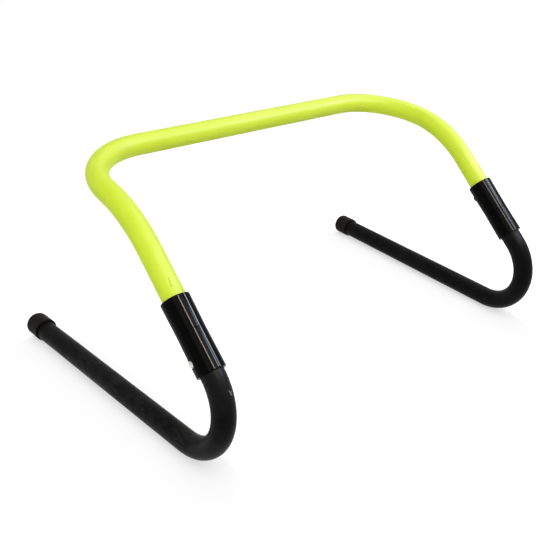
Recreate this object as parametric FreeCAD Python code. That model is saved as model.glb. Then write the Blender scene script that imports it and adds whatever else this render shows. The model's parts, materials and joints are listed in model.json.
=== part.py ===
"""Speed hurdle: a bent yellow bar tube, two black sleeves and two J-shaped black feet, held by snap buttons.

+X runs along the bar to the right, +Y from the front bends back to the foot tips, and +Z up.
The origin is on the floor, at the middle of the space that the hurdle takes up.
"""
import FreeCAD
import Part
import math
import os

from FreeCAD import Vector

# Tube, shared by the bar and the feet, in millimetres
tube_od = 26.7
tube_wall = 2.9

# Bar: one tube with two corners, whose legs curve down into the sleeves. Radii are on the centre line.
leg_spacing = 522.6
leg_straight = 144.0
leg_sweep_radius = 165.0
bar_corner_radius = 90.0

# Leans are in degrees from the floor: along the sleeves, and where a leg meets its corner of the bar
leg_lean_angle = 42.34
corner_lean_angle = 9.29

# Feet: a bend at the front, then a straight run back along the floor, toed out by some degrees
foot_bend_radius = 61.5
foot_straight = 337.5
toe_out_angle = 3.8

# Sleeves: moulded couplers that flare from a seam to both ends, with a stop for the tubes inside.
# Seam and stop are off the middle. The left sleeve has its short end up, the right one is turned end for end.
sleeve_length = 85.0
sleeve_seam_wall = 2.5
sleeve_end_wall = 3.05
sleeve_end_round = 0.6
sleeve_lead_in = 0.8
sleeve_stop_width = 3.0
sleeve_stop_height = 2.0
sleeve_clearance = 0.1
seam_offset = 4.4
seam_width = 0.7
seam_depth = 0.3

# Bare leg below each sleeve, down to the foot's bend: the right sleeve has its short end down, so it sits higher
left_leg_bare = 1.2
right_leg_bare = 14.2

# Snap buttons: one for each tube in each sleeve. Angles are degrees from sideways to the leg's underside.
button_diameter = 9.6
button_proud = 1.2
button_dome_round = 4.0
button_inset = 16.0
button_hole_clearance = 0.3
lower_button_angle = 10.0
upper_button_angle = 50.0

# Rivet that ties a button to its spring clip
rivet_diameter = 3.4
rivet_head_diameter = 5.6
rivet_head_height = 0.8
rivet_clearance = 0.1

# Spring clips: a strip folded into a U across the tube's bore
clip_width = 8.0
clip_thickness = 0.6
clip_tail = 8.0
clip_run = 6.0
clip_wall_gap = 0.15

# End caps: soft cups that sit a little high on the foot tubes, with an even skirt round the mouth
cap_wall = 2.1
cap_end = 4.2
cap_depth = 27.3
cap_end_round = 3.8
cap_mouth_round = 0.6
cap_clearance = 0.05
left_cap_lift = 1.4
right_cap_lift = 0.5
skirt_wall = 1.65
skirt_length = 9.5
skirt_round = 0.5

# One overrun for all cuts
cut_over = 2.0

# Worked out from the driving dimensions
tube_radius = tube_od / 2
bore_radius = tube_radius - tube_wall
sleeve_bore = tube_radius + sleeve_clearance
sleeve_end_radius = sleeve_bore + sleeve_end_wall
sleeve_seam_radius = sleeve_bore + sleeve_seam_wall
sleeve_stop_bore = sleeve_bore - sleeve_stop_height
stop_offset = (right_leg_bare - left_leg_bare) / 2
stop_height = (left_leg_bare + sleeve_length + right_leg_bare) / 2
cap_bore = tube_radius + cap_clearance
cap_radius = cap_bore + cap_wall
skirt_radius = cap_bore + skirt_wall
button_radius = button_diameter / 2
clip_seat = math.sqrt(bore_radius ** 2 - (clip_width / 2) ** 2) - clip_wall_gap
button_height = sleeve_end_radius + button_proud - clip_seat
leg_bare = {"left": left_leg_bare, "right": right_leg_bare}
cap_lift = {"left": left_cap_lift, "right": right_cap_lift}
outward = {"left": Vector(-1, 0, 0), "right": Vector(1, 0, 0)}


def lean_direction(degrees):
    """Unit vector that leans back from the floor by an angle."""
    return Vector(0, math.cos(math.radians(degrees)), math.sin(math.radians(degrees)))


def foot_rise():
    """Angle in radians that lifts a foot's tip, so that its bend and its cap's skirt both meet the floor."""
    to_mouth = foot_straight + cap_end - cap_depth
    tall = foot_bend_radius + skirt_radius
    low = foot_bend_radius + tube_radius
    return math.acos(low / math.hypot(tall, to_mouth)) - math.atan2(to_mouth, tall)


up_leg = lean_direction(leg_lean_angle)
up_corner = lean_direction(corner_lean_angle)
leg_underside = Vector(0, up_leg.z, -up_leg.y)
to_short_end = {"left": up_leg, "right": -up_leg}
rise = foot_rise()


def foot_direction(side):
    """Unit vector from a foot's bend to its tip."""
    toe = math.radians(toe_out_angle)
    level = outward[side] * math.sin(toe) + Vector(0, math.cos(toe), 0)
    return level * math.cos(rise) + Vector(0, 0, math.sin(rise))


class CentreLine:
    """A tube's centre line: straight runs joined by tangent arcs."""

    def __init__(self, start, heading):
        self.start = start
        self.start_heading = heading
        self.point = start
        self.heading = heading
        self.edges = []
        self.length = 0.0

    def run(self, length):
        """Go straight on."""
        end = self.point + self.heading * length
        self.edges.append(Part.makeLine(self.point, end))
        self.point = end
        self.length += length

    def turn(self, heading, radius):
        """Follow an arc until it points along a new heading."""
        angle = self.heading.getAngle(heading)
        inward = (heading - self.heading * self.heading.dot(heading)).normalize()

        def along(part):
            forward = self.heading * math.sin(part)
            return self.point + (forward + inward * (1 - math.cos(part))) * radius

        end = along(angle)
        self.edges.append(Part.Arc(self.point, along(angle / 2), end).toShape())
        self.point = end
        self.heading = heading
        self.length += radius * angle

    def swept(self, radius):
        """Solid round bar along the line."""
        section = Part.Wire(Part.makeCircle(radius, self.start, self.start_heading))
        return Part.Wire(self.edges).makePipeShell([section], True, False)

    def tube(self):
        """Hollow tube along the line."""
        return self.swept(tube_radius).cut(self.swept(bore_radius))


def leg_point(side, height):
    """Point on a leg's axis, at a distance up from the foot's bend."""
    return outward[side] * (leg_spacing / 2) + up_leg * height


def sleeve_middle(side):
    """Distance up the leg to the sleeve's middle."""
    return leg_bare[side] + sleeve_length / 2


def rounded_outline(corners):
    """Closed face in the XZ plane through (x, z, corner radius) corners."""
    edges = []
    ends = []
    for index, (x, z, radius) in enumerate(corners):
        corner = Vector(x, 0, z)
        before = Vector(corners[index - 1][0], 0, corners[index - 1][1]) - corner
        after_x, after_z, _ = corners[(index + 1) % len(corners)]
        after = Vector(after_x, 0, after_z) - corner
        if radius == 0:
            ends.append((corner, corner))
            continue
        before.normalize()
        after.normalize()
        half = before.getAngle(after) / 2
        inset = radius / math.tan(half)
        to_middle = (before + after).normalize()
        middle = corner + to_middle * (radius / math.sin(half) - radius)
        first = corner + before * inset
        last = corner + after * inset
        edges.append(Part.Arc(first, middle, last).toShape())
        ends.append((first, last))
    for index, (first, _) in enumerate(ends):
        edges.append(Part.makeLine(ends[index - 1][1], first))
    return Part.Face(Part.Wire(Part.__sortEdges__(edges)))


def turned(corners, base, axis):
    """Solid of revolution of an outline about its Z axis, stood on a base point along an axis."""
    solid = rounded_outline(corners).revolve(Vector(0, 0, 0), Vector(0, 0, 1), 360)
    solid.Placement = FreeCAD.Placement(base, FreeCAD.Rotation(Vector(0, 0, 1), axis))
    return solid


class SnapButton:
    """Place of one snap button: in the upper or lower tube of one sleeve."""

    def __init__(self, side, level):
        self.side = side
        if level == "upper":
            up, facing, angle = 1, -1, upper_button_angle
        else:
            up, facing, angle = -1, 1, lower_button_angle
        self.to_tube_end = up_leg * -up
        height = sleeve_middle(side) + up * (sleeve_length / 2 - button_inset)
        self.axis_point = leg_point(side, height)
        turn = math.radians(angle)
        self.axis = outward[side] * (facing * math.cos(turn)) + leg_underside * math.sin(turn)
        self.across = self.axis.cross(self.to_tube_end)

    def hole(self):
        """Cut for the button, from the tube's axis out through tube and sleeve."""
        reach = sleeve_seam_radius + cut_over
        radius = button_radius + button_hole_clearance
        return Part.makeCylinder(radius, reach, self.axis_point, self.axis)

    def button(self):
        """Domed button with the rivet that passes through its clip."""
        head_top = -clip_thickness
        rivet_radius = rivet_diameter / 2
        head_radius = rivet_head_diameter / 2
        corners = [
            (0, head_top - rivet_head_height, 0),
            (head_radius, head_top - rivet_head_height, 0),
            (head_radius, head_top, 0),
            (rivet_radius, head_top, 0),
            (rivet_radius, 0, 0),
            (button_radius, 0, 0),
            (button_radius, button_height, button_dome_round),
            (0, button_height, 0),
        ]
        return turned(corners, self.axis_point + self.axis * clip_seat, self.axis)

    def clip(self):
        """Spring strip folded across the bore, with the button's leg on the button's side."""
        inside = clip_seat - clip_thickness

        def spot(along, out):
            centred = self.axis_point - self.across * (clip_width / 2)
            return centred + self.to_tube_end * along + self.axis * out

        def fold(out):
            return Part.Arc(spot(clip_run, out), spot(clip_run + out, 0), spot(clip_run, -out)).toShape()

        edges = [fold(clip_seat), fold(inside)]
        for out in (clip_seat, inside, -inside, -clip_seat):
            edges.append(Part.makeLine(spot(-clip_tail, out), spot(clip_run, out)))
        for out in (clip_seat, -clip_seat):
            tip = math.copysign(inside, out)
            edges.append(Part.makeLine(spot(-clip_tail, out), spot(-clip_tail, tip)))
        face = Part.Face(Part.Wire(Part.__sortEdges__(edges)))
        strip = face.extrude(self.across * clip_width)
        radius = rivet_diameter / 2 + rivet_clearance
        return strip.cut(Part.makeCylinder(radius, clip_seat + cut_over, self.axis_point, self.axis))


def make_bar(buttons):
    """Yellow tube from the left sleeve up, across and down into the right sleeve."""
    tube_end = stop_height + sleeve_stop_width / 2
    line = CentreLine(leg_point("left", tube_end), up_leg)
    line.run(leg_straight - tube_end)
    line.turn(up_corner, leg_sweep_radius)
    line.turn(outward["right"], bar_corner_radius)
    line.run(leg_spacing - 2 * bar_corner_radius)
    line.turn(-up_corner, bar_corner_radius)
    line.turn(-up_leg, leg_sweep_radius)
    line.run(leg_straight - tube_end)
    bar = line.tube()
    for side in leg_bare:
        bar = bar.cut(buttons[side, "upper"].hole())
    return bar


def make_foot(side, button):
    """Black tube from the sleeve's stop down, round the front bend and back along the floor."""
    straight = stop_height - sleeve_stop_width / 2
    line = CentreLine(leg_point(side, straight), -up_leg)
    line.run(straight)
    line.turn(foot_direction(side), foot_bend_radius)
    line.run(foot_straight)
    return line.tube().cut(button.hole()), line.point


def make_sleeve(side, buttons):
    """Moulded coupler, with a seam groove round it and a stop rib inside, both nearer its short end."""
    half = sleeve_length / 2
    stop_near = stop_offset - sleeve_stop_width / 2
    stop_far = stop_offset + sleeve_stop_width / 2
    groove = seam_width / 2
    mouth = sleeve_bore + sleeve_lead_in
    corners = [
        (mouth, -half, 0),
        (sleeve_end_radius, -half, sleeve_end_round),
        (sleeve_seam_radius, seam_offset - groove, 0),
        (sleeve_seam_radius - seam_depth, seam_offset, 0),
        (sleeve_seam_radius, seam_offset + groove, 0),
        (sleeve_end_radius, half, sleeve_end_round),
        (mouth, half, 0),
        (sleeve_bore, half - sleeve_lead_in, 0),
        (sleeve_bore, stop_far, 0),
        (sleeve_stop_bore, stop_far, 0),
        (sleeve_stop_bore, stop_near, 0),
        (sleeve_bore, stop_near, 0),
        (sleeve_bore, -half + sleeve_lead_in, 0),
    ]
    sleeve = turned(corners, leg_point(side, sleeve_middle(side)), to_short_end[side])
    for level in ("upper", "lower"):
        sleeve = sleeve.cut(buttons[side, level].hole())
    return sleeve


def make_cap(side, tube_tip):
    """Cup over a foot tube's end, set high on it, with a skirt that rests on the floor."""
    axis = foot_direction(side)
    skyward = axis.cross(Vector(0, 0, 1)).cross(axis).normalize()
    mouth = tube_tip + axis * (cap_end - cap_depth)
    cup = [
        (0, 0, 0),
        (cap_radius, 0, cap_mouth_round),
        (cap_radius, cap_depth, cap_end_round),
        (0, cap_depth, 0),
    ]
    skirt = [
        (0, 0, 0),
        (skirt_radius, 0, skirt_round),
        (skirt_radius, skirt_length, skirt_round),
        (0, skirt_length, 0),
    ]
    cap = turned(cup, mouth + skyward * cap_lift[side], axis).fuse(turned(skirt, mouth, axis))
    bore = Part.makeCylinder(cap_bore, cap_depth - cap_end, mouth, axis)
    return cap.cut(bore).removeSplitter()


def make_hurdle():
    """All pieces by node name, in the frame of the legs."""
    sides = list(leg_bare)
    buttons = {}
    for side in sides:
        for level in ("upper", "lower"):
            buttons[side, level] = SnapButton(side, level)
    nodes = {"crossbar_tube": make_bar(buttons)}
    for side in sides:
        foot, tube_tip = make_foot(side, buttons[side, "lower"])
        nodes[side + "_sleeve"] = make_sleeve(side, buttons)
        nodes[side + "_foot_tube"] = foot
        nodes[side + "_end_cap"] = make_cap(side, tube_tip)
    for (side, level), place in buttons.items():
        nodes[f"{side}_{level}_snap_button"] = place.button()
        nodes[f"{side}_{level}_spring_clip"] = place.clip()
    return nodes


def stand_on_floor(nodes):
    """Move all pieces so that the origin is on the floor, at the middle of the hurdle's space."""
    space = Part.makeCompound(list(nodes.values())).optimalBoundingBox(False)
    shift = Vector(-space.Center.x, -space.Center.y, -space.ZMin)
    for shape in nodes.values():
        shape.translate(shift)
    return shift, space


def main():
    """Build the hurdle and write one file per piece."""
    os.makedirs("parts", exist_ok=True)
    nodes = make_hurdle()
    shift, space = stand_on_floor(nodes)
    print("space", round(space.XLength, 2), round(space.YLength, 2), round(space.ZLength, 2))
    print("legs stand at", round(shift.y, 3), round(shift.z, 3), "foot rise", round(math.degrees(rise), 3))
    for name, shape in nodes.items():
        solid = shape.Solids[0]
        print(name, len(shape.Solids), solid.isValid(), round(shape.Volume, 1))
        solid.exportStep(f"parts/{name}.step")


main()
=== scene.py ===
"""Looks of the speed hurdle: a finish for each piece, a white studio and the photograph's camera.

Lengths are in metres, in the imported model's frame: +X along the bar to the right, +Y back, +Z up.
"""

import json
import logging
import math
from abc import ABC, abstractmethod
from dataclasses import dataclass, field
from enum import Enum
from typing import Any

import bmesh
import bpy
from mathutils import Matrix, Vector

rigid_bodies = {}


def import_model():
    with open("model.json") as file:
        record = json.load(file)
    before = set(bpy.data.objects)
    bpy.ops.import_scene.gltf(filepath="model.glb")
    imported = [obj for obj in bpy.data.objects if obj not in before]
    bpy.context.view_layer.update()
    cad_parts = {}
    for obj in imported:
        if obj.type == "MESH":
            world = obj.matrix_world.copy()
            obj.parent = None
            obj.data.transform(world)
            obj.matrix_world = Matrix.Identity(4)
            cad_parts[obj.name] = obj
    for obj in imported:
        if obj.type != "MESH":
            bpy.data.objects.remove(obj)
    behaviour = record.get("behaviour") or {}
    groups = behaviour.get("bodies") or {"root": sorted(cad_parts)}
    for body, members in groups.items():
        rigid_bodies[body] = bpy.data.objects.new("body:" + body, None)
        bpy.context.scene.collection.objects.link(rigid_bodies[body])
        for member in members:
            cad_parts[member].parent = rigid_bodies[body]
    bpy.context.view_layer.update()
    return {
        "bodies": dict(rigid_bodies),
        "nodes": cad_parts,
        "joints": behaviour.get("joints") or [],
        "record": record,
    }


LOG = logging.getLogger("speed_hurdle")

Colour = tuple[float, float, float]
Place = tuple[float, float, float]
Span = tuple[float, float]
Inputs = dict[str | int, Any]

WARM: Colour = (1.0, 0.93, 0.86)
EMBER: Colour = (1.0, 0.86, 0.75)
COOL: Colour = (0.93, 0.96, 1.0)
SKY: Colour = (0.78, 0.84, 1.0)
FRESH: Colour = (0.91, 1.0, 0.92)
WHITE: Colour = (1.0, 1.0, 1.0)
BLACK: Colour = (0.0, 0.0, 0.0)

ORIGIN: Place = (0.0, 0.0, 0.0)
ACROSS: Place = (1.0, 0.0, 0.0)
BACKWARD: Place = (0.0, 1.0, 0.0)
UPWARD: Place = (0.0, 0.0, 1.0)

PLASTIC_IOR = 1.5


class Side(Enum):
    """Side of the hurdle, seen from the front."""

    LEFT = "left"
    RIGHT = "right"


class Level(Enum):
    """End of a sleeve that a snap button is in."""

    UPPER = "upper"
    LOWER = "lower"


class Effect(Enum):
    """Surface effects that several finishes share."""

    GRAIN = "fine_grain"
    PATCHES = "soft_patches"
    SCRATCHES = "scratches"
    SPECKS = "specks"
    STROKE = "rub_stroke"
    BAND = "fading_band"


class Reach(Enum):
    """What a studio lamp acts on."""

    FILL = "lights surfaces, and isn't mirrored in them"
    CARD = "is mirrored in surfaces, and doesn't light them"


@dataclass(frozen=True)
class PerSide:
    """A number that differs between the two sides."""

    left: float
    right: float

    def of(self, side: Side) -> float:
        """Pick a side's number.

        Args:
            side: The side.

        Returns:
            Its number.
        """
        return self.left if side is Side.LEFT else self.right


@dataclass(frozen=True)
class LegLine:
    """The straight line that a leg, its sleeve and the top of its foot share.

    Places along it are measured from the plane through the origin that is square to it.
    """

    lean: float = math.radians(42.34)
    bend_end: float = -0.04838
    sleeve_length: float = 0.085
    bare: PerSide = PerSide(0.0012, 0.0142)

    @property
    def direction(self) -> Place:
        """Unit vector up the leg."""
        return (0.0, math.cos(self.lean), math.sin(self.lean))

    def sleeve_bottom(self, side: Side) -> float:
        """Find a sleeve's lower end.

        Args:
            side: The sleeve's side.

        Returns:
            The place of that end along the line.
        """
        return self.bend_end + self.bare.of(side)

    def sleeve_top(self, side: Side) -> float:
        """Find a sleeve's upper end.

        Args:
            side: The sleeve's side.

        Returns:
            The place of that end along the line.
        """
        return self.sleeve_bottom(side) + self.sleeve_length


class Sheet:
    """Writes nodes into a node tree."""

    def __init__(self, tree: bpy.types.NodeTree) -> None:
        """Start on a node tree.

        Args:
            tree: The tree to write into.
        """
        self.tree = tree

    def node(self, kind: str, inputs: Inputs | None = None, **settings: Any) -> bpy.types.Node:
        """Add a node.

        Args:
            kind: Type name of the node.
            inputs: A value or a feeding socket for each socket name or number.
            settings: Values of the node's own properties.

        Returns:
            The new node.
        """
        made = self.tree.nodes.new(kind)
        for name, value in settings.items():
            setattr(made, name, value)
        self.feed(made, inputs or {})
        return made

    def feed(self, node: bpy.types.Node, inputs: Inputs) -> None:
        """Set or link a node's inputs.

        Args:
            node: The node to feed.
            inputs: A value or a feeding socket for each socket name or number.
        """
        for key, value in inputs.items():
            if isinstance(value, bpy.types.NodeSocket):
                self.tree.links.new(value, node.inputs[key])
            else:
                node.inputs[key].default_value = value

    def math(self, operation: str, first: Any, second: Any) -> bpy.types.NodeSocket:
        """Combine two numbers.

        Args:
            operation: Name of the operation.
            first: First number or socket.
            second: Second number or socket.

        Returns:
            The socket with the result.
        """
        return self.node("ShaderNodeMath", {0: first, 1: second}, operation=operation).outputs[0]

    def scaled(self, value: Any, factor: Any, base: Any) -> bpy.types.NodeSocket:
        """Add a number, multiplied first, to another.

        Args:
            value: Number or socket to multiply.
            factor: What it is multiplied by.
            base: Number or socket that the result is added to.

        Returns:
            The socket with the sum.
        """
        inputs = {0: value, 1: factor, 2: base}
        return self.node("ShaderNodeMath", inputs, operation="MULTIPLY_ADD").outputs[0]

    def vector(self, operation: str, first: Any, second: Any = ORIGIN) -> Any:
        """Combine two vectors, or measure one.

        Args:
            operation: Name of the operation.
            first: First vector or socket.
            second: Second vector or socket, where the operation has one.

        Returns:
            The sockets with the resulting vector and number.
        """
        inputs = {0: first, 1: second}
        return self.node("ShaderNodeVectorMath", inputs, operation=operation).outputs

    def step(
        self, value: Any, low: Any, high: Any, start: float = 0.0, end: float = 1.0
    ) -> bpy.types.NodeSocket:
        """Ease from one number to another as a value crosses a span.

        Args:
            value: The value or socket to read.
            low: Where the change begins.
            high: Where the change ends.
            start: Result at the beginning.
            end: Result at the end.

        Returns:
            The socket with the result.
        """
        inputs = {0: value, 1: low, 2: high, 3: start, 4: end}
        return self.node("ShaderNodeMapRange", inputs, interpolation_type="SMOOTHSTEP").outputs[0]

    def mix(self, factor: Any, first: Any, second: Any) -> bpy.types.NodeSocket:
        """Mix two colours.

        Args:
            factor: Share of the second colour.
            first: First colour or socket.
            second: Second colour or socket.

        Returns:
            The socket with the mixed colour.
        """
        colours = [c if isinstance(c, bpy.types.NodeSocket) else (*c, 1.0) for c in (first, second)]
        inputs = {0: factor, 6: colours[0], 7: colours[1]}
        return self.node("ShaderNodeMix", inputs, data_type="RGBA").outputs[2]

    def blend(self, factor: Any, first: Any, second: Any) -> bpy.types.NodeSocket:
        """Mix two surfaces.

        Args:
            factor: Share of the second surface.
            first: Socket with the first surface.
            second: Socket with the second surface.

        Returns:
            The socket with the mixed surface.
        """
        return self.node("ShaderNodeMixShader", {0: factor, 1: first, 2: second}).outputs[0]

    def noise(
        self, vector: Any, scale: Any, detail: float, bend: float = 0.0
    ) -> bpy.types.NodeSocket:
        """Read smooth noise.

        Args:
            vector: Socket with the place to read.
            scale: Cells per metre.
            detail: Number of finer layers.
            bend: How far the cells are pulled out of shape.

        Returns:
            The socket with the noise, about 0.5 on the whole.
        """
        inputs = {"Vector": vector, "Scale": scale, "Detail": detail, "Distortion": bend}
        return self.node("ShaderNodeTexNoise", inputs).outputs[0]


class EffectLibrary:
    """The shared surface effects as node groups, each built once."""

    def __init__(self) -> None:
        """Build every group."""
        self.groups = {
            Effect.GRAIN: self._grain(),
            Effect.PATCHES: self._patches(),
            Effect.SCRATCHES: self._scratches(),
            Effect.SPECKS: self._specks(),
            Effect.STROKE: self._stroke(),
            Effect.BAND: self._band(),
        }

    def place(self, sheet: Sheet, effect: Effect, inputs: Inputs) -> bpy.types.NodeSocket:
        """Put an effect into a material.

        Args:
            sheet: The material's nodes.
            effect: The effect to place.
            inputs: Its values here.

        Returns:
            The socket with the effect's result.
        """
        return sheet.node("ShaderNodeGroup", inputs, node_tree=self.groups[effect]).outputs[0]

    @staticmethod
    def _open(
        effect: Effect, inputs: Inputs, output: str
    ) -> tuple[Sheet, Any, bpy.types.Node]:
        """Start a group.

        Args:
            effect: The effect that the group makes.
            inputs: Names and first values of its inputs.
            output: Name of its output.

        Returns:
            The group's nodes, the sockets of its inputs and its output node.
        """
        tree = bpy.data.node_groups.new(effect.value, "ShaderNodeTree")
        for name, value in inputs.items():
            kind = "NodeSocketVector" if isinstance(value, tuple) else "NodeSocketFloat"
            socket = tree.interface.new_socket(name=name, in_out="INPUT", socket_type=kind)
            socket.default_value = value
        tree.interface.new_socket(name=output, in_out="OUTPUT", socket_type="NodeSocketFloat")
        sheet = Sheet(tree)
        given = sheet.node("NodeGroupInput").outputs
        return sheet, given, sheet.node("NodeGroupOutput")

    def _grain(self) -> bpy.types.NodeTree:
        """Build fine pebbling.

        Returns:
            A group that gives a height.
        """
        finer, fine_share = 3.3, 0.4
        inputs = {"Vector": ORIGIN, "Size": 0.001}
        sheet, given, result = self._open(Effect.GRAIN, inputs, "Height")
        scale = sheet.math("DIVIDE", 1.0, given["Size"])
        coarse = sheet.noise(given["Vector"], scale, detail=1.0)
        fine = sheet.noise(given["Vector"], sheet.math("MULTIPLY", scale, finer), detail=1.0)
        sheet.feed(result, {0: sheet.scaled(fine, fine_share, coarse)})
        return sheet.tree

    def _patches(self) -> bpy.types.NodeTree:
        """Build cloudy areas with soft borders.

        Returns:
            A group that gives a mask.
        """
        softness = 0.1
        inputs = {"Vector": ORIGIN, "Size": 0.05, "Level": 0.5}
        sheet, given, result = self._open(Effect.PATCHES, inputs, "Mask")
        scale = sheet.math("DIVIDE", 1.0, given["Size"])
        cloud = sheet.noise(given["Vector"], scale, detail=3.0, bend=0.3)
        low = sheet.math("SUBTRACT", given["Level"], softness)
        high = sheet.math("ADD", given["Level"], softness)
        sheet.feed(result, {0: sheet.step(cloud, low, high)})
        return sheet.tree

    def _scratches(self) -> bpy.types.NodeTree:
        """Build long thin marks along Z, in broken groups.

        Returns:
            A group that gives a mask.
        """
        softness = 0.07
        groups_per_metre, groups_span = 38.0, (0.44, 0.62)
        inputs = {"Vector": ORIGIN, "Width": 0.0006, "Stretch": 30.0, "Level": 0.62}
        sheet, given, result = self._open(Effect.SCRATCHES, inputs, "Mask")
        across = sheet.math("DIVIDE", 1.0, given["Width"])
        along = sheet.math("DIVIDE", across, given["Stretch"])
        scale = sheet.node("ShaderNodeCombineXYZ", {0: across, 1: across, 2: along}).outputs[0]
        stretched = sheet.vector("MULTIPLY", given["Vector"], scale)[0]
        lines = sheet.noise(stretched, 1.0, detail=1.0, bend=0.2)
        marks = sheet.step(lines, given["Level"], sheet.math("ADD", given["Level"], softness))
        areas = sheet.noise(given["Vector"], groups_per_metre, detail=2.0)
        groups = sheet.step(areas, *groups_span)
        sheet.feed(result, {0: sheet.math("MULTIPLY", marks, groups)})
        return sheet.tree

    def _specks(self) -> bpy.types.NodeTree:
        """Build scattered small dots.

        Returns:
            A group that gives a mask.
        """
        least_radius, core = 0.3, 0.6
        inputs = {"Vector": ORIGIN, "Spacing": 0.006, "Radius": 0.1, "Share": 0.3}
        sheet, given, result = self._open(Effect.SPECKS, inputs, "Mask")
        scale = sheet.math("DIVIDE", 1.0, given["Spacing"])
        cells = sheet.node("ShaderNodeTexVoronoi", {"Vector": given["Vector"], "Scale": scale})
        shade = sheet.node("ShaderNodeSeparateColor", {0: cells.outputs["Color"]}).outputs
        size = sheet.math("ADD", shade[1], least_radius)
        radius = sheet.math("MULTIPLY", given["Radius"], size)
        inner = sheet.math("MULTIPLY", radius, core)
        dots = sheet.step(cells.outputs["Distance"], inner, radius, 1.0, 0.0)
        chosen = sheet.math("LESS_THAN", shade[0], given["Share"])
        sheet.feed(result, {0: sheet.math("MULTIPLY", dots, chosen)})
        return sheet.tree

    def _stroke(self) -> bpy.types.NodeTree:
        """Build one ragged rub mark between two places.

        Returns:
            A group that gives a mask.
        """
        cells_per_radius, core = 1.1, 0.4
        rag_span, rag_sizes = (0.32, 0.68), (0.25, 1.3)
        inputs = {"Vector": ORIGIN, "Start": ORIGIN, "End": ORIGIN, "Radius": 0.001}
        sheet, given, result = self._open(Effect.STROKE, inputs, "Mask")
        run = sheet.vector("SUBTRACT", given["End"], given["Start"])[0]
        reach = sheet.vector("SUBTRACT", given["Vector"], given["Start"])[0]
        ahead = sheet.vector("DOT_PRODUCT", reach, run)[1]
        share = sheet.math("DIVIDE", ahead, sheet.vector("DOT_PRODUCT", run, run)[1])
        share = sheet.math("MINIMUM", sheet.math("MAXIMUM", share, 0.0), 1.0)
        spread = sheet.node("ShaderNodeCombineXYZ", {0: share, 1: share, 2: share}).outputs[0]
        apart = sheet.vector("DISTANCE", reach, sheet.vector("MULTIPLY", run, spread)[0])[1]
        scale = sheet.math("DIVIDE", cells_per_radius, given["Radius"])
        rags = sheet.noise(given["Vector"], scale, detail=2.0)
        edge = sheet.math("MULTIPLY", sheet.step(rags, *rag_span, *rag_sizes), given["Radius"])
        inner = sheet.math("MULTIPLY", edge, core)
        sheet.feed(result, {0: sheet.step(apart, inner, edge, 1.0, 0.0)})
        return sheet.tree

    def _band(self) -> bpy.types.NodeTree:
        """Build a band that is full at one place along a direction and gone at another.

        Returns:
            A group that gives a mask.
        """
        inputs = {"Vector": ORIGIN, "Direction": UPWARD, "Full": 0.0, "Gone": 0.01}
        sheet, given, result = self._open(Effect.BAND, inputs, "Mask")
        along = sheet.vector("DOT_PRODUCT", given["Vector"], given["Direction"])[1]
        sheet.feed(result, {0: sheet.step(along, given["Full"], given["Gone"], 1.0, 0.0)})
        return sheet.tree


@dataclass(frozen=True)
class Pebbling:
    """Fine bumps on a surface, with how much of them shows and how deep they are."""

    size: float
    strength: float
    depth: float


class Canvas(Sheet):
    """A material with one Principled shader that reads object coordinates."""

    def __init__(self, name: str, library: EffectLibrary) -> None:
        """Start a material.

        Args:
            name: Name of the material.
            library: The shared effects.
        """
        self.material = bpy.data.materials.new(name)
        self.material.use_nodes = True
        super().__init__(self.material.node_tree)
        self.tree.nodes.clear()
        self.library = library
        self.place = self.node("ShaderNodeTexCoord").outputs["Object"]
        self.shader = self.node("ShaderNodeBsdfPrincipled")
        self.node("ShaderNodeOutputMaterial", {"Surface": self.shader.outputs[0]})

    def effect(self, effect: Effect, vector: Any = None, **values: Any) -> bpy.types.NodeSocket:
        """Place a shared effect.

        Args:
            effect: The effect to place.
            vector: Socket with the place to read, if not the plain object coordinates.
            values: The effect's inputs, by name.

        Returns:
            The socket with the effect's result.
        """
        return self.library.place(self, effect, {"Vector": vector or self.place, **values})

    def scratches(
        self, direction: Place, width: float, stretch: float, level: float
    ) -> bpy.types.NodeSocket:
        """Place scratches that run along a direction.

        Args:
            direction: Unit vector in the object's frame.
            width: Width of a mark.
            stretch: How many times longer than wide a mark is.
            level: Noise level above which there are marks.

        Returns:
            The socket with their mask.
        """
        turn = Vector(direction).rotation_difference(Vector(UPWARD)).to_euler()
        inputs = {"Vector": self.place, "Rotation": turn}
        turned = self.node("ShaderNodeMapping", inputs).outputs[0]
        return self.effect(Effect.SCRATCHES, turned, Width=width, Stretch=stretch, Level=level)

    def lay(self, under: Any, over: Colour, mask: Any, share: Any) -> bpy.types.NodeSocket:
        """Lay one colour over another.

        Args:
            under: The colour or socket below.
            over: The colour that is laid on it.
            mask: Socket with where it goes, from 0 to 1.
            share: Most of it that shows.

        Returns:
            The socket with the resulting colour.
        """
        return self.mix(self.math("MULTIPLY", mask, share), under, over)

    def plastic(self, colour: Any, rough: Any, specular: Any) -> None:
        """Make the shader a plastic.

        Args:
            colour: Socket with its colour.
            rough: Socket with its roughness.
            specular: Number or socket with its mirroring.
        """
        inputs = {"Base Color": colour, "Roughness": rough, "IOR": PLASTIC_IOR}
        self.feed(self.shader, {**inputs, "Specular IOR Level": specular})

    def pebble(self, pebbling: Pebbling) -> None:
        """Raise the surface in fine bumps.

        Args:
            pebbling: The bumps.
        """
        height = self.effect(Effect.GRAIN, Size=pebbling.size)
        inputs = {"Strength": pebbling.strength, "Distance": pebbling.depth, "Height": height}
        self.feed(self.shader, {"Normal": self.node("ShaderNodeBump", inputs).outputs[0]})


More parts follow.
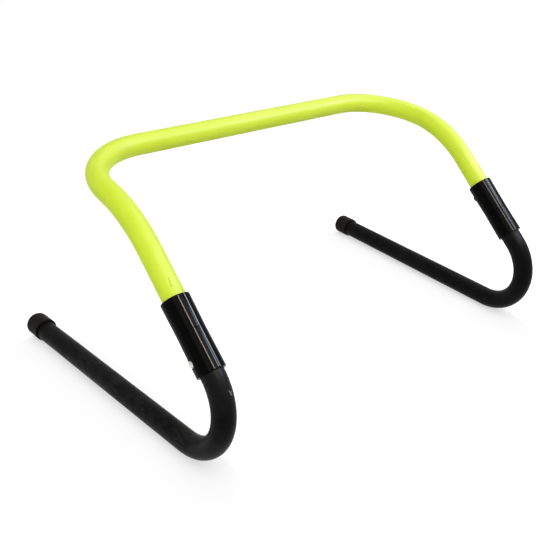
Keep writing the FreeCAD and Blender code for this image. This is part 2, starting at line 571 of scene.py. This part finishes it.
@dataclass(frozen=True)
class YellowTubeFinish:
    """Satin neon yellow plastic, scraped where the sleeves slide on."""

    legs: LegLine = LegLine()
    body: Colour = (0.718, 0.864, 0.044)
    deep: Colour = (0.656, 0.798, 0.034)
    scraped: Colour = (0.430, 0.560, 0.030)
    mark: Colour = (0.200, 0.230, 0.030)
    mottle_share: float = 0.4
    cloud_share: float = 0.2
    scrape_share: float = 0.16
    rub_share: float = 0.10
    dot_share: float = 0.3
    scratch_share: float = 0.55
    roughness: float = 0.46
    cloud_roughness: float = 0.05
    scraped_roughness: float = 0.55
    specular: float = 0.25
    scrape_reach: Span = (0.002, 0.034)
    scratch: tuple[Place, Place] = ((-0.2637, -0.1052, 0.2011), (-0.2647, -0.1120, 0.1945))
    scratch_radius: float = 0.0009
    pebbling: Pebbling = Pebbling(0.0011, 0.3, 0.00005)

    def material(self, library: EffectLibrary) -> bpy.types.Material:
        """Build the finish.

        Args:
            library: The shared effects.

        Returns:
            The finished material.
        """
        canvas = Canvas("satin_neon_yellow", library)
        clouds = canvas.effect(Effect.PATCHES, Size=0.045, Level=0.5)
        mottle = canvas.effect(Effect.GRAIN, Size=0.0026)
        cloudy = canvas.math("MULTIPLY", clouds, self.cloud_share)
        tone = canvas.scaled(mottle, self.mottle_share, cloudy)
        colour = canvas.mix(tone, self.body, self.deep)
        scrapes = self._scrapes(canvas)
        colour = canvas.lay(colour, self.scraped, scrapes, self.scrape_share)
        rubs = canvas.scratches(ACROSS, width=0.0006, stretch=26.0, level=0.65)
        colour = canvas.lay(colour, self.scraped, rubs, self.rub_share)
        dots = canvas.effect(Effect.SPECKS, Spacing=0.013, Radius=0.035, Share=0.2)
        colour = canvas.lay(colour, self.mark, dots, self.dot_share)
        start, end = self.scratch
        scratch = canvas.effect(Effect.STROKE, Start=start, End=end, Radius=self.scratch_radius)
        colour = canvas.lay(colour, self.mark, scratch, self.scratch_share)
        rough = canvas.scaled(clouds, self.cloud_roughness, self.roughness)
        marked = canvas.math("MAXIMUM", scrapes, rubs)
        marked = canvas.math("MULTIPLY", marked, self.scraped_roughness)
        canvas.plastic(colour, canvas.math("MAXIMUM", rough, marked), self.specular)
        canvas.pebble(self.pebbling)
        return canvas.material

    def _scrapes(self, canvas: Canvas) -> bpy.types.NodeSocket:
        """Place marks along the legs, thickest at the sleeves' upper ends.

        Args:
            canvas: The material.

        Returns:
            The socket with their mask.
        """
        marks = canvas.scratches(self.legs.direction, width=0.0008, stretch=24.0, level=0.60)
        sideways = canvas.node("ShaderNodeSeparateXYZ", {0: canvas.place}).outputs[0]
        on_right = canvas.math("GREATER_THAN", sideways, 0.0)
        on_left = canvas.math("SUBTRACT", 1.0, on_right)
        left = canvas.math("MULTIPLY", self._band(canvas, Side.LEFT), on_left)
        band = canvas.scaled(self._band(canvas, Side.RIGHT), on_right, left)
        return canvas.math("MULTIPLY", marks, band)

    def _band(self, canvas: Canvas, side: Side) -> bpy.types.NodeSocket:
        """Mask the part of a leg that is next to its sleeve.

        Args:
            canvas: The material.
            side: The leg's side.

        Returns:
            The socket with the mask.
        """
        full, gone = (self.legs.sleeve_top(side) + reach for reach in self.scrape_reach)
        return canvas.effect(Effect.BAND, Direction=self.legs.direction, Full=full, Gone=gone)


@dataclass(frozen=True)
class SatinFootFinish:
    """Satin black plastic tube, scuffed along its run and dusty where it meets the floor; the left
    run also carries painted light.
    """

    body: Colour = (0.0020, 0.0018, 0.0021)
    worn: Colour = (0.0152, 0.0137, 0.0146)
    faded: Colour = (0.0320, 0.0290, 0.0298)
    dust: Colour = (0.050, 0.047, 0.042)
    pale: Colour = (0.230, 0.212, 0.196)
    cloud_share: float = 0.12
    # The left run's larger share is painted light on top of floor wear.
    run_wear_and_painted_light: PerSide = PerSide(0.60, 0.16)
    mottle_share: float = 0.60
    streak_share: float = 0.55
    scuff_share: float = 0.4
    speck_share: float = 0.4
    scrape_share: float = 0.8
    roughness: float = 0.40
    cloud_roughness: float = 0.1
    scuff_roughness: float = 0.62
    specular: float = 0.035
    neck_sheen: PerSide = PerSide(0.045, 0.018)
    scrapes: tuple[tuple[Place, Place], ...] = (
        ((-0.2584, -0.1982, 0.1110), (-0.2560, -0.2001, 0.1052)),
        ((-0.2552, -0.1981, 0.1085), (-0.2575, -0.2002, 0.1065)),
    )
    scrape_radius: float = 0.0012
    pebbling: Pebbling = Pebbling(0.0014, 0.2, 0.00006)

    def material(self, library: EffectLibrary, side: Side) -> bpy.types.Material:
        """Build the finish for one foot; its run along the floor is lighter from wear, and the left
        one's more so from painted light.

        Args:
            library: The shared effects.
            side: The foot's side.

        Returns:
            The finished material.
        """
        canvas = Canvas(f"satin_black_{side.value}", library)
        clouds = canvas.effect(Effect.PATCHES, Size=0.03, Level=0.54)
        scuffs = canvas.scratches(BACKWARD, width=0.0007, stretch=14.0, level=0.57)
        colour = canvas.lay(self.body, self.worn, clouds, self.cloud_share)
        colour = self._run(canvas, colour, self.run_wear_and_painted_light.of(side))
        colour = canvas.lay(colour, self.worn, scuffs, self.scuff_share)
        colour = self._dirt(canvas, colour)
        rough = canvas.scaled(clouds, self.cloud_roughness, self.roughness)
        scuffed = canvas.math("MULTIPLY", scuffs, self.scuff_roughness)
        neck = canvas.effect(Effect.BAND, Direction=UPWARD, Full=0.115, Gone=0.080)
        sheen = canvas.scaled(neck, self.neck_sheen.of(side), self.specular)
        canvas.plastic(colour, canvas.math("MAXIMUM", rough, scuffed), sheen)
        canvas.pebble(self.pebbling)
        return canvas.material

    def _run(self, canvas: Canvas, colour: Any, wear: float) -> bpy.types.NodeSocket:
        """Lighten the run along the floor, as wear and, on the left foot, painted light, and mottle
        the whole tube.

        Args:
            canvas: The material.
            colour: Socket with the colour so far.
            wear: Most of the lightening that shows, wear with painted light added on the left foot.

        Returns:
            The socket with the worn colour.
        """
        near_floor = canvas.effect(Effect.BAND, Direction=UPWARD, Full=0.022, Gone=0.075)
        in_front = canvas.effect(Effect.BAND, Direction=BACKWARD, Full=0.0, Gone=0.25)
        run = canvas.math("MULTIPLY", near_floor, in_front)
        # Lighter run: floor wear, with painted light added on the left foot.
        colour = canvas.lay(colour, self.worn, run, wear)
        blotches = canvas.effect(Effect.PATCHES, Size=0.011, Level=0.5)
        colour = canvas.lay(colour, self.body, blotches, self.mottle_share)
        streaks = canvas.scratches(BACKWARD, width=0.0032, stretch=5.0, level=0.47)
        streaked = canvas.math("MULTIPLY", run, wear * self.streak_share)
        return canvas.lay(colour, self.faded, streaks, streaked)

    def _dirt(self, canvas: Canvas, colour: Any) -> bpy.types.NodeSocket:
        """Add specks, floor dust and the scrapes on the left bend.

        Args:
            canvas: The material.
            colour: Socket with the colour so far.

        Returns:
            The socket with the dirty colour.
        """
        specks = canvas.effect(Effect.SPECKS, Spacing=0.005, Radius=0.06, Share=0.25)
        colour = canvas.lay(colour, self.dust, specks, self.speck_share)
        floor_rub = canvas.effect(Effect.BAND, Direction=UPWARD, Full=0.0, Gone=0.004)
        grit = canvas.effect(Effect.PATCHES, Size=0.006, Level=0.48)
        colour = canvas.lay(colour, self.dust, floor_rub, grit)
        for start, end in self.scrapes:
            scrape = canvas.effect(Effect.STROKE, Start=start, End=end, Radius=self.scrape_radius)
            colour = canvas.lay(colour, self.pale, scrape, self.scrape_share)
        return colour


@dataclass(frozen=True)
class GlossSleeveFinish:
    """Gloss black moulding with fine handling marks and rubbed ends."""

    legs: LegLine = LegLine()
    body: Colour = (0.0008, 0.0008, 0.0008)
    rubbed: Colour = (0.012, 0.0115, 0.011)
    mark_share: float = 0.3
    wear_share: float = 0.6
    end_wear: float = 0.0022
    roughness: PerSide = PerSide(0.07, 0.16)
    haze_roughness: float = 0.05
    worn_roughness: float = 0.26
    specular: float = 0.033
    pebbling: Pebbling = Pebbling(0.012, 0.05, 0.0001)

    def material(self, library: EffectLibrary, side: Side) -> bpy.types.Material:
        """Build the finish for one sleeve.

        Args:
            library: The shared effects.
            side: The sleeve's side.

        Returns:
            The finished material.
        """
        canvas = Canvas(f"gloss_black_{side.value}", library)
        up = self.legs.direction
        bottom, top = self.legs.sleeve_bottom(side), self.legs.sleeve_top(side)
        marks = canvas.scratches(up, width=0.0004, stretch=30.0, level=0.66)
        ends = canvas.math(
            "MAXIMUM",
            canvas.effect(Effect.BAND, Direction=up, Full=bottom, Gone=bottom + self.end_wear),
            canvas.effect(Effect.BAND, Direction=up, Full=top, Gone=top - self.end_wear),
        )
        chips = canvas.effect(Effect.PATCHES, Size=0.007, Level=0.46)
        wear = canvas.math("MULTIPLY", ends, chips)
        specks = canvas.effect(Effect.SPECKS, Spacing=0.008, Radius=0.04, Share=0.2)
        colour = canvas.lay(self.body, self.rubbed, marks, self.mark_share)
        spots = canvas.math("MAXIMUM", wear, specks)
        colour = canvas.lay(colour, self.rubbed, spots, self.wear_share)
        haze = canvas.effect(Effect.PATCHES, Size=0.025, Level=0.52)
        rough = canvas.scaled(haze, self.haze_roughness, self.roughness.of(side))
        marked = canvas.math("MAXIMUM", marks, wear)
        marked = canvas.math("MULTIPLY", marked, self.worn_roughness)
        canvas.plastic(colour, canvas.math("MAXIMUM", rough, marked), self.specular)
        canvas.pebble(self.pebbling)
        return canvas.material


@dataclass(frozen=True)
class SoftCapFinish:
    """Matt black soft vinyl, grey where it rubs on the floor."""

    body: Colour = (0.0100, 0.0082, 0.0074)
    bloom: Colour = (0.0190, 0.0165, 0.0150)
    dust: Colour = (0.050, 0.047, 0.042)
    bloom_share: float = 0.3
    speck_share: float = 0.35
    roughness: float = 0.5
    bloom_roughness: float = 0.14
    specular: float = 0.04
    pebbling: Pebbling = Pebbling(0.0008, 0.4, 0.00006)

    def material(self, library: EffectLibrary) -> bpy.types.Material:
        """Build the finish.

        Args:
            library: The shared effects.

        Returns:
            The finished material.
        """
        canvas = Canvas("soft_black_vinyl", library)
        bloom = canvas.effect(Effect.PATCHES, Size=0.012, Level=0.55)
        colour = canvas.lay(self.body, self.bloom, bloom, self.bloom_share)
        floor_rub = canvas.effect(Effect.BAND, Direction=UPWARD, Full=0.0, Gone=0.005)
        grit = canvas.effect(Effect.PATCHES, Size=0.004, Level=0.47)
        colour = canvas.lay(colour, self.dust, floor_rub, grit)
        specks = canvas.effect(Effect.SPECKS, Spacing=0.004, Radius=0.06, Share=0.25)
        colour = canvas.lay(colour, self.dust, specks, self.speck_share)
        rough = canvas.scaled(bloom, self.bloom_roughness, self.roughness)
        canvas.plastic(colour, rough, self.specular)
        canvas.pebble(self.pebbling)
        return canvas.material


@dataclass(frozen=True)
class SteelFinish:
    """Bare or plated steel with fine draw lines and dull patches."""

    name: str
    bright: Colour
    dull: Colour
    roughness: float
    lines: Place = UPWARD
    patch_share: float = 0.5
    line_share: float = 0.35
    dull_roughness: float = 0.22
    pebbling: Pebbling = Pebbling(0.0006, 0.15, 0.00002)

    def material(self, library: EffectLibrary) -> bpy.types.Material:
        """Build the finish.

        Args:
            library: The shared effects.

        Returns:
            The finished material.
        """
        canvas = Canvas(self.name, library)
        patches = canvas.effect(Effect.PATCHES, Size=0.0035, Level=0.55)
        lines = canvas.scratches(self.lines, width=0.00025, stretch=20.0, level=0.5)
        lined = canvas.math("MULTIPLY", lines, self.line_share)
        shade = canvas.scaled(patches, self.patch_share, lined)
        colour = canvas.mix(shade, self.bright, self.dull)
        rough = canvas.scaled(shade, self.dull_roughness, self.roughness)
        canvas.feed(canvas.shader, {"Base Color": colour, "Roughness": rough, "Metallic": 1.0})
        canvas.pebble(self.pebbling)
        return canvas.material


class Wardrobe:
    """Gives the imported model's nodes their materials."""

    def __init__(self, frame: dict[str, Any]) -> None:
        """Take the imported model.

        Args:
            frame: The loaded frame.
        """
        self.nodes: dict[str, bpy.types.Object] = frame["nodes"]
        self.library = EffectLibrary()

    def dress(self, node: str, material: bpy.types.Material) -> None:
        """Give one node a material.

        Args:
            node: The node's name.
            material: Its material.
        """
        piece = self.nodes[node]
        if not piece.material_slots:
            piece.data.materials.append(material)
        for slot in piece.material_slots:
            slot.material = material
        LOG.info("%s wears %s", node, material.name)


class SubAssembly(ABC):
    """Pieces of the hurdle that are dressed together."""

    @abstractmethod
    def dress(self, wardrobe: Wardrobe) -> None:
        """Give the pieces their finishes.

        Args:
            wardrobe: What hands out the materials.
        """


@dataclass
class Crossbar(SubAssembly):
    """The bent yellow tube across the top."""

    node: str = "crossbar_tube"
    finish: YellowTubeFinish = field(default_factory=YellowTubeFinish)

    def dress(self, wardrobe: Wardrobe) -> None:
        """Give the tube its finish.

        Args:
            wardrobe: What hands out the materials.
        """
        wardrobe.dress(self.node, self.finish.material(wardrobe.library))


@dataclass
class Sleeve(SubAssembly):
    """The coupler between the bar and one foot."""

    side: Side
    finish: GlossSleeveFinish = field(default_factory=GlossSleeveFinish)

    def dress(self, wardrobe: Wardrobe) -> None:
        """Give the sleeve its finish.

        Args:
            wardrobe: What hands out the materials.
        """
        material = self.finish.material(wardrobe.library, self.side)
        wardrobe.dress(f"{self.side.value}_sleeve", material)


@dataclass
class Feet(SubAssembly):
    """Both J-shaped feet with their soft caps."""

    tube_finish: SatinFootFinish = field(default_factory=SatinFootFinish)
    cap_finish: SoftCapFinish = field(default_factory=SoftCapFinish)

    def dress(self, wardrobe: Wardrobe) -> None:
        """Give tubes and caps their finishes.

        Args:
            wardrobe: What hands out the materials.
        """
        cap = self.cap_finish.material(wardrobe.library)
        for side in Side:
            tube = self.tube_finish.material(wardrobe.library, side)
            wardrobe.dress(f"{side.value}_foot_tube", tube)
            wardrobe.dress(f"{side.value}_end_cap", cap)


@dataclass
class SnapButtons(SubAssembly):
    """All four snap buttons with their spring clips; the upper two wear steel painted dark as
    painted shade.
    """

    bright: SteelFinish = SteelFinish(
        "bright_plated_steel", (0.62, 0.61, 0.58), (0.36, 0.35, 0.33), 0.2
    )
    # Same steel as the bright buttons, painted near black: painted shade and painted dark
    # reflections on the upper buttons.
    shade_painted: SteelFinish = SteelFinish(
        "steel_with_painted_shade", (0.050, 0.042, 0.038), (0.018, 0.015, 0.014), 0.3
    )
    spring: SteelFinish = SteelFinish(
        "bare_spring_steel", (0.46, 0.46, 0.46), (0.24, 0.23, 0.23), 0.3, ACROSS
    )

    def dress(self, wardrobe: Wardrobe) -> None:
        """Give buttons and clips their finishes.

        Args:
            wardrobe: What hands out the materials.
        """
        buttons = {
            # The upper buttons get the steel with painted shade.
            Level.UPPER: self.shade_painted.material(wardrobe.library),
            Level.LOWER: self.bright.material(wardrobe.library),
        }
        clip = self.spring.material(wardrobe.library)
        for side in Side:
            for level in Level:
                wardrobe.dress(f"{side.value}_{level.value}_snap_button", buttons[level])
                wardrobe.dress(f"{side.value}_{level.value}_spring_clip", clip)


@dataclass(frozen=True)
class Softbox:
    """A rectangular studio lamp that faces the hurdle."""

    name: str
    reach: Reach
    place: Place
    width: float
    height: float
    watts: float
    along: Place = BACKWARD
    tint: Colour = WHITE
    aim: Place = (0.0, -0.14, 0.15)

    def hang(self) -> None:
        """Put the lamp in place, with its height along the given direction."""
        lamp = bpy.data.lights.new(self.name, "AREA")
        lamp.shape = "RECTANGLE"
        lamp.size = self.width
        lamp.size_y = self.height
        lamp.energy = self.watts
        lamp.color = self.tint
        holder = bpy.data.objects.new(self.name, lamp)
        holder.visible_glossy = self.reach is Reach.CARD
        holder.visible_diffuse = self.reach is Reach.FILL
        back = (Vector(self.place) - Vector(self.aim)).normalized()
        across = Vector(self.along).cross(back).normalized()
        turn = Matrix((across, back.cross(across), back)).transposed()
        holder.matrix_world = Matrix.Translation(self.place) @ turn.to_4x4()
        bpy.context.scene.collection.objects.link(holder)


OVERHEAD = Softbox("overhead", Reach.FILL, (-0.3, -0.5, 2.3), 1.6, 1.6, 7.0)
LEFT_FILL = Softbox("left_fill", Reach.FILL, (-1.7, -0.4, 1.0), 1.4, 1.4, 10.0, UPWARD, FRESH)
FRONT_FILL = Softbox(
    "front_fill", Reach.FILL, (-0.21, -1.00, 1.49), 0.3, 0.4, 7.5, (0.40, 0.70, 0.58), WARM
)
RIGHT_FILL = Softbox(
    "right_fill", Reach.FILL, (1.0, -0.68, 1.17), 0.3, 0.5, 7.5, (0.0, 0.76, -0.65), COOL
)
FRONT_CARD = Softbox(
    "front_card", Reach.CARD, (-0.05, -1.78, 2.68), 0.34, 0.55, 76.0, (0.0, 0.85, 0.53), EMBER
)
BROAD_CARD = Softbox(
    "broad_card", Reach.CARD, (-1.05, -1.08, 1.72), 1.2, 0.8, 6.6, (0.0, 0.74, 0.67)
)
WASH_CARD = Softbox(
    "wash_card", Reach.CARD, (0.39, -0.97, 1.45), 0.78, 0.34, 5.2, (0.0, 0.83, 0.56), COOL
)
RIGHT_CARD = Softbox(
    "right_card", Reach.CARD, (1.045, -0.52, 1.03), 0.22, 0.31, 20.0, (0.34, 0.94, 0.0), SKY
)
FAR_CARD = Softbox(
    "far_card", Reach.CARD, (0.94, -0.94, 1.38), 0.22, 0.24, 18.0, (0.68, 0.71, 0.16), SKY
)
TOP_CARD = Softbox("top_card", Reach.CARD, (0.9, 0.3, 1.76), 1.2, 1.2, 20.0)


@dataclass
class Studio:
    """White floor and surroundings with soft lamps.

    Near the hurdle, the camera sees through the floor to pieces that are pulled down past it.
    """

    floor_radius: float = 1.7
    floor_sides: int = 96
    floor_colour: Colour = (0.70, 0.70, 0.70)
    floor_roughness: float = 0.9
    floor_glow: float = 0.74
    clear_reach: Span = (0.50, 0.56)
    search_reach: float = 0.30
    search_rays: int = 64
    shade_reach: float = 0.08
    shade_depth: float = 0.60
    shade_rays: int = 8
    ambient: float = 0.325
    lamps: tuple[Softbox, ...] = (
        OVERHEAD,
        LEFT_FILL,
        FRONT_FILL,
        RIGHT_FILL,
        FRONT_CARD,
        BROAD_CARD,
        WASH_CARD,
        RIGHT_CARD,
        FAR_CARD,
        TOP_CARD,
    )

    def build(self) -> None:
        """Make floor, surroundings and lamps."""
        self._floor()
        self._surroundings()
        for lamp in self.lamps:
            lamp.hang()

    @staticmethod
    def _seen(sheet: Sheet) -> bpy.types.NodeSocket:
        """Pick the rays that show the background: from the camera, mirrored or through glass.

        Args:
            sheet: The nodes to add to.

        Returns:
            The socket that is 1 on those rays.
        """
        path = sheet.node("ShaderNodeLightPath").outputs
        mirrored = sheet.math("MAXIMUM", path["Is Glossy Ray"], path["Is Transmission Ray"])
        return sheet.math("MAXIMUM", path["Is Camera Ray"], mirrored)

    def _floor(self) -> None:
        """Lay a flat pale disc at the feet."""
        shape = bmesh.new()
        bmesh.ops.create_circle(
            shape, cap_ends=True, segments=self.floor_sides, radius=self.floor_radius
        )
        mesh = bpy.data.meshes.new("floor")
        shape.to_mesh(mesh)
        shape.free()
        floor = bpy.data.objects.new("floor", mesh)
        bpy.context.scene.collection.objects.link(floor)
        mesh.materials.append(self._floor_material())

    def _floor_material(self) -> bpy.types.Material:
        """Build the floor's material.

        Returns:
            The finished material.
        """
        material = bpy.data.materials.new("pale_floor")
        material.use_nodes = True
        material.node_tree.nodes.clear()
        material.cycles.emission_sampling = "NONE"
        sheet = Sheet(material.node_tree)
        inputs = {
            "Base Color": (*self.floor_colour, 1.0),
            "Roughness": self.floor_roughness,
            "Specular IOR Level": 0.0,
            "Emission Color": (*WHITE, 1.0),
            "Emission Strength": sheet.math("MULTIPLY", self._seen(sheet), self.floor_glow),
        }
        solid = sheet.node("ShaderNodeBsdfPrincipled", inputs).outputs[0]
        opened = sheet.blend(self._beneath(sheet), solid, self._shade(sheet))
        surface = sheet.blend(self._near(sheet), solid, opened)
        sheet.node("ShaderNodeOutputMaterial", {"Surface": surface})
        return material

    def _near(self, sheet: Sheet) -> bpy.types.NodeSocket:
        """Pick the camera's rays that meet the floor near the hurdle.

        Args:
            sheet: The nodes to add to.

        Returns:
            The socket that is 1 on those rays.
        """
        spot = sheet.node("ShaderNodeTexCoord").outputs["Object"]
        away = sheet.vector("LENGTH", spot)["Value"]
        near = sheet.step(away, *self.clear_reach, 1.0, 0.0)
        straight = sheet.node("ShaderNodeLightPath").outputs["Is Camera Ray"]
        return sheet.math("MULTIPLY", straight, near)

    def _beneath(self, sheet: Sheet) -> bpy.types.NodeSocket:
        """Find where a piece lies behind the floor on the way that a ray goes.

        Args:
            sheet: The nodes to add to.

        Returns:
            The socket that is 1 there.
        """
        toward = sheet.node("ShaderNodeNewGeometry").outputs["Incoming"]
        inputs = {"Distance": self.search_reach, "Normal": toward}
        found = sheet.node(
            "ShaderNodeAmbientOcclusion", inputs, samples=self.search_rays, inside=True
        )
        one_hit = 1.0 - 1.0 / self.search_rays
        return sheet.step(found.outputs["AO"], one_hit, 1.0, 1.0, 0.0)

    def _shade(self, sheet: Sheet) -> bpy.types.NodeSocket:
        """Build a clear surface with the soft shade of the pieces close above it.

        Args:
            sheet: The nodes to add to.

        Returns:
            The socket with the surface.
        """
        inputs = {"Distance": self.shade_reach}
        close = sheet.node("ShaderNodeAmbientOcclusion", inputs, samples=self.shade_rays)
        light = sheet.step(close.outputs["AO"], 0.0, 1.0, self.shade_depth, 1.0)
        colour = sheet.mix(light, BLACK, WHITE)
        return sheet.node("ShaderNodeBsdfTransparent", {"Color": colour}).outputs[0]

    def _surroundings(self) -> None:
        """Make white all round, dimmer for the light that falls on the hurdle."""
        world = bpy.data.worlds.new("white_studio")
        world.use_nodes = True
        world.node_tree.nodes.clear()
        sheet = Sheet(world.node_tree)
        seen = self._seen(sheet)
        colour = sheet.mix(seen, FRESH, WHITE)
        strength = sheet.step(seen, 0.0, 1.0, self.ambient, 1.0)
        sky = sheet.node("ShaderNodeBackground", {"Color": colour, "Strength": strength})
        sheet.node("ShaderNodeOutputWorld", {"Surface": sky.outputs[0]})
        bpy.context.scene.world = world


@dataclass(frozen=True)
class PhotoCamera:
    """The camera that took the photograph, with its middle and focal length in pixels."""

    place: Place = (-0.603227, -0.682641, 0.538691)
    azimuth: float = math.radians(-41.007)
    elevation: float = math.radians(28.631)
    roll: float = math.radians(-1.258)
    focal: float = 729.3
    middle: Span = (288.889, 299.625)
    image: float = 560.0
    sensor: float = 36.0
    nearest: float = 0.01

    def build(self) -> None:
        """Make the camera and let the scene use it."""
        lens = bpy.data.cameras.new("photo_camera")
        lens.sensor_width = self.sensor
        lens.lens = self.focal / self.image * self.sensor
        lens.shift_x = 0.5 - self.middle[0] / self.image
        lens.shift_y = self.middle[1] / self.image - 0.5
        lens.clip_start = self.nearest
        camera = bpy.data.objects.new("photo_camera", lens)
        camera.matrix_world = Matrix.Translation(self.place) @ self._turn().to_4x4()
        bpy.context.scene.collection.objects.link(camera)
        bpy.context.scene.camera = camera

    def _turn(self) -> Matrix:
        """Work out how the camera is turned.

        Returns:
            The rotation whose columns are the view's right, up and backward directions.
        """
        level = math.cos(self.elevation)
        ahead, rise = math.cos(self.azimuth) * level, math.sin(self.elevation)
        forward = Vector((-math.sin(self.azimuth) * level, ahead, -rise))
        right = forward.cross(Vector(UPWARD)).normalized()
        down = forward.cross(right)
        tilted = right * math.cos(self.roll) + down * math.sin(self.roll)
        dropped = down * math.cos(self.roll) - right * math.sin(self.roll)
        return Matrix((tilted, -dropped, -forward)).transposed()


def main() -> None:
    """Load the frame, dress every piece and set up the studio."""
    logging.basicConfig(level=logging.INFO, format="%(name)s: %(message)s")
    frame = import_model()
    wardrobe = Wardrobe(frame)
    sleeves = [Sleeve(side) for side in Side]
    assemblies: list[SubAssembly] = [Crossbar(), *sleeves, Feet(), SnapButtons()]
    for assembly in assemblies:
        assembly.dress(wardrobe)
    Studio().build()
    PhotoCamera().build()
    bpy.context.scene.view_settings.view_transform = "Standard"


if __name__ == "__main__":
    main()
